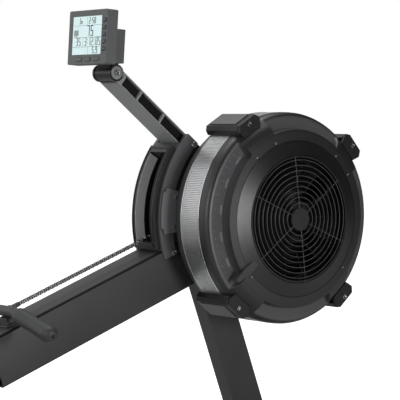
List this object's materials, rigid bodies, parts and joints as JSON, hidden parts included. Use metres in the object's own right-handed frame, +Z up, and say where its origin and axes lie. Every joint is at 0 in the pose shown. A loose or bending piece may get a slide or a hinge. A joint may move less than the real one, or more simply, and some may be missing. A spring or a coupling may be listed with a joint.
{
  "type": "rowing machine",
  "caption": "Air rowing machine with a caged fan drum, a sloping beam with a chain pull and handle, a monitor on an arm, and a level rail with a rolling seat and foot plates.",
  "frame": {"origin": "on the floor under the middle of the machine's box", "axes": "+X the rower's right (the drum's open face looks along it), +Y forward towards the drum, +Z up"},
  "size_m": [0.61, 2.44, 1.1239],
  "materials": {
    "black_paint": "satin",
    "black_plastic": "fine grain",
    "dark_plastic": "fine grain",
    "grey_plastic": "fine grain",
    "perforated_steel": "perforated",
    "rail_aluminium": "satin anodised",
    "steel": "satin",
    "chain_steel": "nickel plated",
    "rubber": "matt",
    "webbing": "woven",
    "seat_foam": "moulded foam skin",
    "display": "clear over liquid crystal"
  },
  "bodies": {
    "frame": {"main_beam": "black_paint", "front_leg": "black_paint", "front_foot_bar": "black_paint", "seat_rail": "rail_aluminium", "rail_bracket": "black_paint", "rail_end_stop": "rubber", "rear_leg": "black_paint", "rear_foot_bar": "black_paint", "throat_frame": "dark_plastic", "handle_hook": "black_plastic", "drum_back_shell": "black_plastic", "perforated_band": "perforated_steel", "drum_front_shell": "black_plastic", "front_cover": "black_plastic", "intake_grille": "dark_plastic", "rim_clamp_upper_rear": "dark_plastic", "rim_clamp_upper_front": "dark_plastic", "rim_clamp_lower_front": "dark_plastic", "rim_clamp_lower_rear": "dark_plastic", "drive_chain": "chain_steel", "foot_support": "black_paint", "front_foot_cap_left": "rubber", "front_foot_cap_right": "rubber", "chain_case_left": "black_plastic", "chain_case_right": "black_plastic", "side_frame_left": "black_paint", "side_frame_right": "black_paint", "foot_plate_left": "black_plastic", "foot_plate_right": "black_plastic", "foot_strap_left": "webbing", "foot_strap_right": "webbing"},
    "fan": {"flywheel": "steel", "flywheel_axle": "steel"},
    "sprocket": {"drive_sprocket": "steel"},
    "guide": {"guide_roller": "black_plastic"},
    "chain": {"pull_chain": "chain_steel"},
    "handle": {"handle_bar": "black_paint", "handle_grip_left": "rubber", "handle_grip_right": "rubber"},
    "damper": {"damper_ring": "dark_plastic"},
    "seat": {"seat_pad": "seat_foam", "seat_carriage": "steel"},
    "roller_front": {"seat_roller_front": "black_plastic"},
    "roller_rear": {"seat_roller_rear": "black_plastic"},
    "heel_left": {"heel_cup_left": "dark_plastic"},
    "heel_right": {"heel_cup_right": "dark_plastic"},
    "wheel_left": {"transport_wheel_left": "rubber"},
    "wheel_right": {"transport_wheel_right": "rubber"},
    "arm": {"monitor_arm": "grey_plastic"},
    "monitor": {"monitor_neck": "black_plastic", "monitor_case": "grey_plastic", "lcd_screen": "display"},
    "side_button_1": {"side_button_1": "dark_plastic"},
    "side_button_2": {"side_button_2": "dark_plastic"},
    "side_button_3": {"side_button_3": "dark_plastic"},
    "side_button_4": {"side_button_4": "dark_plastic"},
    "side_button_5": {"side_button_5": "dark_plastic"},
    "lower_button_1": {"lower_button_1": "dark_plastic"},
    "lower_button_2": {"lower_button_2": "dark_plastic"},
    "lower_button_3": {"lower_button_3": "dark_plastic"}
  },
  "joints": [
    {"name": "fan_spin", "type": "hinge", "parent": "frame", "child": "fan", "pos_m": [0, 0.948, 0.6], "axis": [1, 0, 0], "continuous": true},
    {"name": "sprocket_spin", "type": "hinge", "parent": "frame", "child": "sprocket", "pos_m": [0, 0.948, 0.6], "axis": [1, 0, 0], "continuous": true},
    {"name": "guide_roller_spin", "type": "hinge", "parent": "frame", "child": "guide", "pos_m": [0, 0.68781, 0.54821], "axis": [1, 0, 0], "continuous": true},
    {"name": "chain_lift", "type": "hinge", "parent": "frame", "child": "chain", "pos_m": [0, 0.68781, 0.54821], "axis": [1, 0, 0], "range_deg": [-29, 0]},
    {"name": "handle_pull", "type": "slide", "parent": "chain", "child": "handle", "axis": [0, -0.9379, -0.3469], "range_m": [0, 0.8], "stiffness_N_per_m": 12, "springref_m": -0.5, "deforming": ["pull_chain"]},
    {"name": "damper_turn", "type": "hinge", "parent": "frame", "child": "damper", "pos_m": [0, 0.948, 0.6], "axis": [1, 0, 0], "range_deg": [-80, 0]},
    {"name": "seat_slide", "type": "slide", "parent": "frame", "child": "seat", "axis": [0, 1, 0], "range_m": [-0.36, 0.2]},
    {"name": "front_roller_spin", "type": "hinge", "parent": "seat", "child": "roller_front", "pos_m": [0, -0.5587, 0.3163], "axis": [1, 0, 0], "continuous": true},
    {"name": "rear_roller_spin", "type": "hinge", "parent": "seat", "child": "roller_rear", "pos_m": [0, -0.6687, 0.3163], "axis": [1, 0, 0], "continuous": true},
    {"name": "heel_slide_left", "type": "slide", "parent": "frame", "child": "heel_left", "axis": [0, 0.7071, 0.7071], "range_m": [0, 0.05]},
    {"name": "heel_slide_right", "type": "slide", "parent": "frame", "child": "heel_right", "axis": [0, 0.7071, 0.7071], "range_m": [0, 0.05]},
    {"name": "wheel_spin_left", "type": "hinge", "parent": "frame", "child": "wheel_left", "pos_m": [-0.2, 1.05194, 0.03], "axis": [1, 0, 0], "continuous": true},
    {"name": "wheel_spin_right", "type": "hinge", "parent": "frame", "child": "wheel_right", "pos_m": [0.2, 1.05194, 0.03], "axis": [1, 0, 0], "continuous": true},
    {"name": "arm_fold", "type": "hinge", "parent": "frame", "child": "arm", "pos_m": [0, 0.75402, 0.78896], "axis": [1, 0, 0], "range_deg": [-45, 0]},
    {"name": "monitor_tilt", "type": "hinge", "parent": "arm", "child": "monitor", "pos_m": [0, 0.53, 0.969], "axis": [1, 0, 0], "range_deg": [-25, 20]},
    {"name": "side_button_1_press", "type": "slide", "parent": "monitor", "child": "side_button_1", "axis": [0, 0.9978, -0.0663], "range_m": [0, 0.0012], "stiffness_N_per_m": 300},
    {"name": "side_button_2_press", "type": "slide", "parent": "monitor", "child": "side_button_2", "axis": [0, 0.9978, -0.0663], "range_m": [0, 0.0012], "stiffness_N_per_m": 300},
    {"name": "side_button_3_press", "type": "slide", "parent": "monitor", "child": "side_button_3", "axis": [0, 0.9978, -0.0663], "range_m": [0, 0.0012], "stiffness_N_per_m": 300},
    {"name": "side_button_4_press", "type": "slide", "parent": "monitor", "child": "side_button_4", "axis": [0, 0.9978, -0.0663], "range_m": [0, 0.0012], "stiffness_N_per_m": 300},
    {"name": "side_button_5_press", "type": "slide", "parent": "monitor", "child": "side_button_5", "axis": [0, 0.9978, -0.0663], "range_m": [0, 0.0012], "stiffness_N_per_m": 300},
    {"name": "lower_button_1_press", "type": "slide", "parent": "monitor", "child": "lower_button_1", "axis": [0, 0.9978, -0.0663], "range_m": [0, 0.0012], "stiffness_N_per_m": 300},
    {"name": "lower_button_2_press", "type": "slide", "parent": "monitor", "child": "lower_button_2", "axis": [0, 0.9978, -0.0663], "range_m": [0, 0.0012], "stiffness_N_per_m": 300},
    {"name": "lower_button_3_press", "type": "slide", "parent": "monitor", "child": "lower_button_3", "axis": [0, 0.9978, -0.0663], "range_m": [0, 0.0012], "stiffness_N_per_m": 300}
  ],
  "couplings": [
    {"joint": "chain_lift", "follows": "handle_pull", "rad_per_m": -0.6},
    {"joint": "sprocket_spin", "follows": "handle_pull", "rad_per_m": 30.488},
    {"joint": "guide_roller_spin", "follows": "handle_pull", "rad_per_m": 90.909},
    {"joint": "front_roller_spin", "follows": "seat_slide", "rad_per_m": -62.5},
    {"joint": "rear_roller_spin", "follows": "seat_slide", "rad_per_m": -62.5}
  ]
}
